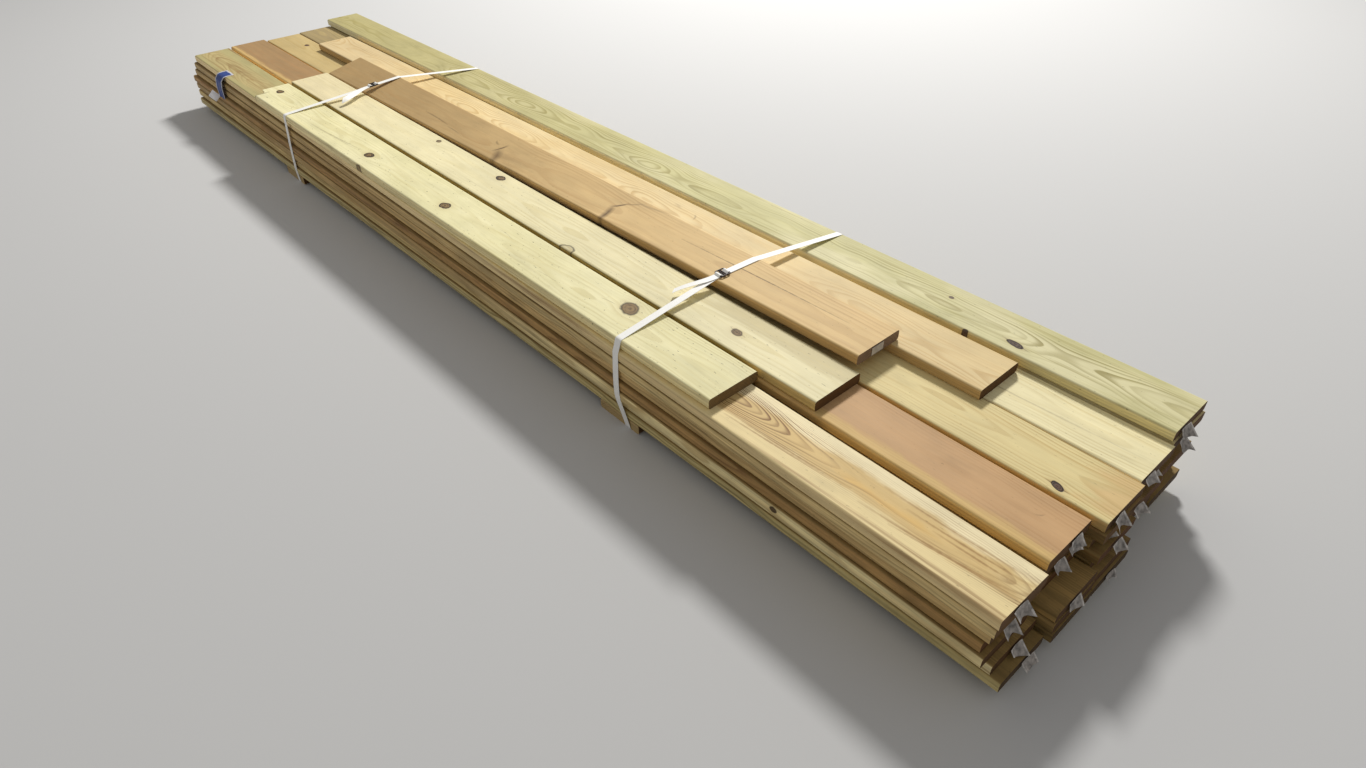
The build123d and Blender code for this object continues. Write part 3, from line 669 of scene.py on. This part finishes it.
def strap_band(centre, across, closed):
    """Band along a centre line: its section is a flat rounded bar whose two faces have shallow cords.

    Each section point is centre + across * share * half the width + normal * height, where height is half
    the thickness times (1 - share^8)^0.5, up to a tenth less between cords, and normal is across x along.
    """
    along = directions(centre, closed)
    across = across - (across * along).sum(1, keepdims=True) * along
    across /= np.linalg.norm(across, axis=1, keepdims=True)
    outward = np.cross(across, along)
    turn = np.linspace(0, 2 * pi, 48, endpoint=False)
    share = np.cos(turn)
    height = strap_thickness / 2 * np.sign(np.sin(turn)) * np.sqrt(1 - np.abs(share) ** 8)
    height *= 1 - 0.10 * (0.5 + 0.5 * np.cos(share * pi * 11))
    points = (centre[:, None] + across[:, None] * (share * strap_width / 2)[None, :, None]
              + outward[:, None] * height[None, :, None])
    uv = np.stack(np.broadcast_arrays(share[None, :] * strap_width / 2, run_length(centre)[:, None]), axis=-1)
    return points, uv


def even_steps(points, step):
    """The same line with points at even steps along it."""
    length = run_length(points)
    at = np.linspace(0, length[-1], max(int(length[-1] / step), 8) + 1)
    return np.stack([np.interp(at, length, points[:, axis]) for axis in range(3)], axis=1)


def eased_line(points, step, reach):
    """Line through the points with its corners rounded by a running mean over the given reach."""
    line = even_steps(np.array(points), step)
    count = max(int(reach / step) | 1, 3)
    padded = np.vstack((np.repeat(line[:1], count // 2, 0), line, np.repeat(line[-1:], count // 2, 0)))
    share = np.ones(count) / count
    smooth_line = np.stack([np.convolve(padded[:, axis], share, "valid") for axis in range(3)], axis=1)
    smooth_line[0], smooth_line[-1] = line[0], line[-1]
    return smooth_line


def own_map(tree):
    """Place on the piece's own map, and its two numbers: across the strap or film, and along it."""
    uv = tree.nodes.new("ShaderNodeUVMap")
    uv.uv_map = "weave"
    across, along, _ = separate(tree, uv.outputs[0])
    return uv.outputs[0], across, along


def strap_weave():
    """White polyester cords side by side, bound by a fine cross thread, and greyed a little in patches.
    The relief also makes the cords' crests a little paler and the grooves between them a little darker:
    painted light and shade.
    """
    material, tree, shader = new_material("woven strap")
    place, across, along = own_map(tree)
    do = partial(calc, tree)
    cord = do("ABSOLUTE", do("SINE", do("MULTIPLY", across, pi / cord_pitch)))
    cord_number = do("FLOOR", do("DIVIDE", across, cord_pitch))
    shift = do("MULTIPLY", cord_number, pi)
    bind = do("SINE", do("MULTIPLY_ADD", along, 2 * pi / thread_pitch, shift))
    relief = do("MULTIPLY_ADD", bind, 0.25, cord)
    soil = cloud_noise(tree, place, 34.0, 4.0)
    # Painted light and shade: the cords' crests a little paler, the grooves between cords and threads a
    # little darker.
    tone = do("MULTIPLY_ADD", relief, 0.05, do("MULTIPLY_ADD", soil, -0.10, 0.99))
    colour = combine(tree, tone, do("MULTIPLY", tone, 0.99), do("MULTIPLY", tone, 0.955))
    link(tree, colour, shader.inputs["Base Color"])
    link(tree, do("MULTIPLY_ADD", cord, -0.12, 0.55), shader.inputs["Roughness"])
    emboss(tree, shader, relief, 0.6, 0.0002)
    return material


# Where each strap turns over the corners of the stack and where its buckle lies, along the boards, the
# buckle's place across them, and the tip of its loose tail: all from the corner, as photographed.
strap_places = {
    "front": dict(left_top=-0.284, at_buckle=-0.297, right_top=-0.258, right_bottom=-0.252,
                  left_bottom=-0.255, buckle=0.321, bow=0.006, tail_tip=(-0.330, 0.187, 0.014),
                  tail_lead=(0.05, 0.004, 0.006), tail_turn=18),
    "rear": dict(left_top=-2.050, at_buckle=-2.041, right_top=-1.999, right_bottom=-2.005,
                 left_bottom=-2.035, buckle=0.311, bow=0.002, tail_tip=(-1.990, 0.161, 0.016),
                 tail_lead=(0.05, 0.006, 0.006), tail_turn=-35),
}
corner_turns = {"left_top": 3 * pi / 4, "left_bottom": 5 * pi / 4, "right_bottom": 7 * pi / 4,
                "right_top": 9 * pi / 4}
loop_step = 0.003
weave = strap_weave()
buckle_seats = {}
for strap_name, places in strap_places.items():
    station = corner.x + (places["left_top"] + places["right_top"]) / 2
    outline = [section_points(node, station) for node in nodes
               if node.endswith("_boards") or "board_" in node]
    outline = np.vstack((*outline, section_points(f"bearer_{strap_name}", corner.x + places["left_bottom"])))
    turn = np.linspace(pi / 2, pi / 2 + 2 * pi, 2881)
    facing = np.stack((np.cos(turn), np.sin(turn)), axis=1)
    loop = outline[(outline @ facing.T).argmax(0)] + off_the_boards * facing
    loop[:, 1] = np.maximum(loop[:, 1], off_the_boards)
    run = run_length(loop)
    run_at = {key: run[np.abs(turn - angle).argmin()] for key, angle in corner_turns.items()}
    top_y = np.where(np.cos(turn - pi / 2) > 0.5, loop[:, 0], 1e9)
    run_at["at_buckle"] = run[np.abs(top_y - (corner.y + places["buckle"])).argmin()]
    keys = sorted((at, places[key]) for key, at in run_at.items())
    at = np.linspace(0, run[-1], int(run[-1] / loop_step), endpoint=False)
    x = np.interp(at, [k[0] for k in keys], [k[1] for k in keys], period=run[-1]) + corner.x
    side = np.clip((at - run_at["left_top"]) / (run_at["left_bottom"] - run_at["left_top"]), 0, 1)
    x -= places["bow"] * np.sin(pi * side) ** 2
    centre = np.stack((x, np.interp(at, run, loop[:, 0]), np.interp(at, run, loop[:, 1])), axis=1)
    points, uv = strap_band(centre, np.tile((1.0, 0, 0), (len(centre), 1)), closed=True)
    band = grid_mesh(f"strap_band_{strap_name}", points, uv, wrap_u=True, wrap_v=True)
    band.data.materials.append(weave)

    top_y = np.where(centre[:, 2] > corner.z - 0.01, centre[:, 1], 1e9)
    near_buckle = np.abs(top_y - (corner.y + places["buckle"])).argmin()
    origin = Vector(centre[near_buckle])
    along = Vector(centre[near_buckle - 6] - centre[near_buckle + 6]).normalized()
    if along.y < 0:
        along.negate()
    outward = Vector((1, 0, 0)).cross(along).normalized()
    outward = outward if outward.z > 0 else -outward
    across = along.cross(outward).normalized()
    seat = Matrix((along, across, outward)).transposed().to_4x4()
    seat.translation = origin + outward * strap_thickness / 2
    buckle_seats[strap_name] = seat

    # The strap's end lies double on the band, goes over one end of the buckle, under its double bar, over
    # its other end, and hangs loose as a tail, which bends and turns its flat side on the way to its tip
    half, wire = frame_half_length, wire_diameter
    on_band, on_wire, under_bars = 0.00075, 0.00575, 0.00475
    crossing = [(0.105, 0.0004), (0.097, on_band), (half + 1.4 * wire, on_band), (half + 0.4 * wire, on_wire),
                (half - 0.4 * wire, on_wire), (under_bars, on_band), (-under_bars, on_band),
                (-half + 0.4 * wire, on_wire), (-half - 0.4 * wire, on_wire), (-half - 1.4 * wire, on_band)]
    crossing = eased_line([(x, 0.0, z) for x, z in crossing], 0.0006, 0.0026)
    tip = np.array(seat.inverted() @ (corner + Vector(places["tail_tip"])))
    start = crossing[-1]
    share = np.linspace(0, 1, 90)[1:, None]
    lead, back = np.array((-0.045, 0, 0.0)), np.array(places["tail_lead"])
    loose = ((1 - share) ** 3 * start + 3 * (1 - share) ** 2 * share * (start + lead)
             + 3 * (1 - share) * share ** 2 * (tip + back) + share ** 3 * tip)
    tail_line = np.vstack((crossing, loose))
    turned = np.concatenate((np.zeros(len(crossing)), radians(places["tail_turn"]) * share[:, 0] ** 1.2))
    sideways = np.stack((np.zeros(len(turned)), np.cos(turned), np.sin(turned)), axis=1)
    turn_to_world = np.array(seat.to_3x3())
    tail_line = tail_line @ turn_to_world.T + np.array(seat.translation)
    points, uv = strap_band(tail_line, sideways @ turn_to_world.T, closed=False)
    share = np.cos(np.linspace(0, 2 * pi, points.shape[1], endpoint=False))
    to_tip = run_length(tail_line[::-1])[::-1]
    cut = np.clip(slanted_tip - to_tip, 0, None)[:, None] * (0.5 - 0.5 * share)[None, :]
    heading = np.gradient(tail_line, axis=0)
    heading /= np.linalg.norm(heading, axis=1, keepdims=True)
    points -= cut[..., None] * heading[:, None]
    for end in (0, -1):
        points[end] = points[end].mean(0) * 0.999 + points[end] * 0.001
    strap_tail = grid_mesh(f"strap_tail_{strap_name}", points, uv, wrap_v=True)
    strap_tail.data.materials.append(weave)
    strap_tail.parent = band
    for piece in (band, strap_tail):
        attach(piece, "root")
    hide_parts(f"strap_{strap_name}")


# Buckles: one length of hard round wire each, bent into a flat rounded frame with its two ends lying
# side by side across the middle, phosphated dark grey-brown and rubbed brighter in spots.
def wire_tube(name, line, diameter, closed):
    """Round tube along a line: centre + radius * (cos(turn) * side + sin(turn) * rise) at each point."""
    along = directions(line, closed)
    rise = np.tile((0.0, 0, 1), (len(line), 1))
    side = np.cross(along, rise)
    side /= np.linalg.norm(side, axis=1, keepdims=True)
    rise = np.cross(side, along)
    turn = np.linspace(0, 2 * pi, 20, endpoint=False)
    radius = np.full(len(line), diameter / 2)
    if not closed:
        radius[[0, -1]] *= 0.02
        radius[[1, -2]] *= 0.8
    around = np.cos(turn)[None, :, None] * side[:, None] + np.sin(turn)[None, :, None] * rise[:, None]
    points = line[:, None] + radius[:, None, None] * around
    return grid_mesh(name, points, wrap_u=closed, wrap_v=True)


frame_half_width, frame_corner, bar_offset, seat_gap = 0.0135, 0.004, 0.0022, 0.0003
phosphate, tree, shader = new_material("phosphated wire")
where = tree.nodes.new("ShaderNodeTexCoord")
spots = cloud_noise(tree, where.outputs["Object"], 420.0, 4.0)
worn = tree.nodes.new("ShaderNodeMapRange")
link(tree, spots, worn.inputs["Value"])
worn.inputs["From Min"].default_value = 0.5
worn.inputs["From Max"].default_value = 0.72
tint = colour_mix(tree, worn.outputs[0], (0.022, 0.014, 0.012, 1), (0.12, 0.095, 0.085, 1))
link(tree, tint, shader.inputs["Base Color"])
link(tree, calc(tree, "MULTIPLY_ADD", spots, 0.3, 0.22), shader.inputs["Roughness"])
shader.inputs["Metallic"].default_value = 0.55

for strap_name, seat in buckle_seats.items():
    level = 2 * seat_gap + strap_thickness + wire_diameter / 2
    turn = np.linspace(0, 2 * pi, 97)[:-1]
    # Rounded frame: a corner circle's point is pushed out to the corner centre by the sign of its direction
    reach_x = (frame_half_length - frame_corner) * np.clip(np.cos(turn) * 40, -1, 1)
    reach_y = (frame_half_width - frame_corner) * np.clip(np.sin(turn) * 40, -1, 1)
    line = np.stack((reach_x + frame_corner * np.cos(turn), reach_y + frame_corner * np.sin(turn),
                     np.full(len(turn), level)), axis=1)
    frame_wire = wire_tube(f"buckle_frame_{strap_name}", line, wire_diameter, closed=True)
    bars = []
    for bar, x in enumerate((-bar_offset, bar_offset), start=1):
        y = np.linspace(-frame_half_width, frame_half_width, 24)
        line = np.stack((np.full(24, x), y, np.full(24, level)), axis=1)
        bars.append(wire_tube(f"buckle_bar_{bar}_{strap_name}", line, wire_diameter, closed=False))
    for piece in (frame_wire, *bars):
        piece.data.transform(seat)
        piece.data.materials.append(phosphate)
        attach(piece, "root")
    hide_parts(f"buckle_{strap_name}")


# Side tag: a strip of blue film with pale margins, folded over the second row's left edge near the far
# end. It hangs down the side with its lower end twisted out square, which shows the film's white back.
def film(name, colour, margin, roughness, waves, tone_and_painted_light_spread=0.7):
    """Thin plastic film: one colour with a paler margin round it, and slow waves that catch the light.
    The waves also lighten and darken the colour over the given spread: partly the film's own patchy tone,
    partly painted highlights and shade on its creases.
    """
    material, tree, shader = new_material(name)
    _, across, along = own_map(tree)
    do = partial(calc, tree)
    edge = do("MINIMUM", across, do("SUBTRACT", 1.0, across))
    edge = do("MINIMUM", edge, do("MULTIPLY", along, 2.0))
    sheet = colour_mix(tree, do("LESS_THAN", edge, 0.10), (*colour, 1), (*margin, 1))
    place = tree.nodes.new("ShaderNodeTexCoord")
    wave = cloud_noise(tree, place.outputs["Object"], waves, 4.0)
    # Painted highlights and shade: the waves lighten and darken the colour over the given spread, besides the
    # film's own patchy tone.
    tone = do("MULTIPLY_ADD", wave, tone_and_painted_light_spread, 1.0 - tone_and_painted_light_spread / 2)
    sheet = colour_mix(tree, 1.0, sheet, combine(tree, tone, tone, tone), "MULTIPLY")
    link(tree, sheet, shader.inputs["Base Color"])
    link(tree, do("MULTIPLY_ADD", wave, 0.3, roughness - 0.15), shader.inputs["Roughness"])
    emboss(tree, shader, wave, 0.4, 0.0008)
    return material


def film_piece(name, points, uv, thickness, material):
    """Sheet on a grid of points, with its thickness laid evenly to both sides of them."""
    piece = grid_mesh(name, points, uv)
    piece.data.materials.append(material)
    wall = piece.modifiers.new("thickness", "SOLIDIFY")
    wall.thickness = thickness
    wall.offset = 0.0
    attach(piece, "root")
    return piece


blue_film = film("blue film", (0.012, 0.048, 0.24), (0.55, 0.55, 0.60), 0.5, 60.0)
board_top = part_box("second_row_board_1")[1].z
tag_x, tag_half, tag_wall, tag_top = corner.x - 2.682, 0.034, 0.0005, board_top + 0.0006
side_y = corner.y - 0.0145
hang_y = side_y - 0.0085
route = [(corner.y + 0.033, tag_top), (corner.y + 0.006, tag_top), (corner.y - 0.006, tag_top - 0.002),
         (side_y - 0.004, tag_top - 0.016), (hang_y, tag_top - 0.045), (hang_y, tag_top - 0.083)]
route = eased_line([Vector((tag_x, y, z)) for y, z in route], 0.002, 0.010)
share = np.linspace(-1, 1, 25)
fall = np.linspace(0, 1, len(route))
points = np.repeat(route[:, None], len(share), 1)
points[..., 0] += share[None, :] * tag_half * (1 - 0.25 * np.clip(fall - 0.3, 0, 1)[:, None])
curl = 0.0022 * np.sin(share * 2.4) ** 2 + 0.0012 * np.sin(share * 5 + 1)
lift = 0.0008 * (1 + np.sin(share * 4 + 0.6))
points[..., 1] -= curl[None, :] * np.clip(fall * 2 - 0.8, 0, 1)[:, None]
points[..., 2] += lift[None, :] * np.clip(1 - fall * 2.6, 0, 1)[:, None]
uv = np.stack(np.broadcast_arrays((share * 0.5 + 0.5)[None, :], fall[:, None]), axis=-1)
side_tag = film_piece("tag_strip", points, uv, tag_wall, blue_film)
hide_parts("side_tag")

# The turned-out lower end: a square of the same film seen from its white back, slightly cupped
white_film = film("white film", (0.88, 0.87, 0.90), (0.92, 0.91, 0.93), 0.4, 80.0)
flap_turn, flap_edge = radians(49), 0.033
flap_out = Vector((0, -1, 0))
flap_out.rotate(Matrix.Rotation(flap_turn - pi / 2, 3, "Z"))
flap_corner = Vector((tag_x - tag_half + 0.006, hang_y, board_top - 0.082))
u, v = np.meshgrid(np.linspace(0, 1, 19), np.linspace(0, 1, 19))
reach = flap_edge / 2 ** 0.5
flat = (np.array(flap_corner) + np.array(flap_out) * ((u + v) * reach)[..., None]
        + np.array((0, 0, 1.0)) * ((u - v) * reach)[..., None])
normal = np.array(flap_out.cross(Vector((0, 0, 1))))
flat += normal * (0.0040 * ((u - 0.5) ** 2 + (v - 0.5) ** 2) * 2)[..., None]
flap = film_piece("tag_flap", flat, np.stack((u, v), axis=-1), tag_wall, white_film)
flap.parent = side_tag


# End labels: small grey film labels stapled by their top edges to the boards' near ends. They are crumpled
# and flare out, each in its own way. Each hangs from a hinge line (x, y, z from the corner), with its
# length, drop and flare in degrees.
label_places = [
    (0.127, 0.340, 0.0224, 0.046, 0.019, 0), (0.663, 0.588, -0.0040, 0.044, 0.022, 30),
    (0.668, 0.008, -0.0294, 0.048, 0.024, 38), (0.657, 0.207, -0.0294, 0.042, 0.020, 20),
    (0.681, 0.303, -0.0294, 0.046, 0.024, 30), (0.672, 0.441, -0.0294, 0.044, 0.022, 30),
    (0.667, 0.583, -0.0294, 0.040, 0.022, 34), (0.652, 0.216, -0.0548, 0.044, 0.018, 20),
    (0.686, 0.380, -0.0548, 0.044, 0.022, 44), (0.655, 0.490, -0.0548, 0.044, 0.022, 44),
    (0.659, 0.011, -0.0802, 0.042, 0.022, 30), (0.649, 0.186, -0.0802, 0.042, 0.022, 30),
    (0.668, 0.312, -0.0802, 0.046, 0.022, 44), (0.690, 0.328, -0.1056, 0.042, 0.022, 40),
    (0.698, 0.178, -0.1310, 0.046, 0.024, 34), (0.673, 0.044, -0.1564, 0.042, 0.018, 24),
    (0.694, 0.054, -0.1818, 0.046, 0.020, 30), (0.701, 0.327, -0.1818, 0.042, 0.018, 24),
]
# The grey film's wide spread paints bright highlights and dark shade onto the labels' crumples.
grey_film = film("grey film", (0.30, 0.272, 0.25), (0.50, 0.47, 0.44), 0.45, 110.0, 2.8)
pale_film = film("pale film", (0.52, 0.49, 0.47), (0.55, 0.52, 0.50), 0.45, 110.0, 0.5)
label_wall, stand_off, box_margin, free_flare = 0.0004, 0.0012, 0.0008, 24
crumple = np.random.default_rng(7)
for label_number, (x, y, z, length, drop, flare) in enumerate(label_places, start=1):
    u, v = np.meshgrid(np.linspace(0, 1, 15), np.linspace(0, 1, 11))
    lean, loose = radians(flare), min(flare / free_flare, 1.0)
    # Crumple: the sum of several flat folds, each |distance from its crease line|, fading in from the staples
    fold = np.zeros_like(u)
    for _ in range(5):
        angle, off = crumple.uniform(0, pi), crumple.uniform(-0.3, 0.3)
        depth = crumple.uniform(0.003, 0.009)
        fold += depth * (np.abs((u - 0.5) * cos(angle) * 1.5 + (v - 0.5) * sin(angle) - off) - 0.25)
    fold = (fold - fold.min()) * (0.2 + 0.8 * v) * loose
    torn = 1 - loose * (crumple.uniform(0.1, 0.5) * (1 - u) + crumple.uniform(0, 0.25) * u ** 2)
    down = drop * v * torn
    out = stand_off + down * sin(lean) * (0.4 + 0.8 * u) + 0.7 * fold
    out *= min(1.0, (cad_box[1].x - box_margin - corner.x - x) / out.max())
    points = np.stack((corner.x + x + out, corner.y + y + length * (0.08 + 0.84 * u) - 0.3 * fold * (u - 0.5),
                       corner.z + z - down * cos(lean) - 0.25 * fold * v), axis=-1)
    uv = np.stack((u[:, ::-1], v[:, ::-1]), axis=-1)
    label = film_piece(f"end_label_{label_number}", points[:, ::-1], uv, label_wall,
                       pale_film if label_number == 1 else grey_film)
    label.data.polygons.foreach_set("use_smooth", [False] * len(label.data.polygons))
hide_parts("end_labels")
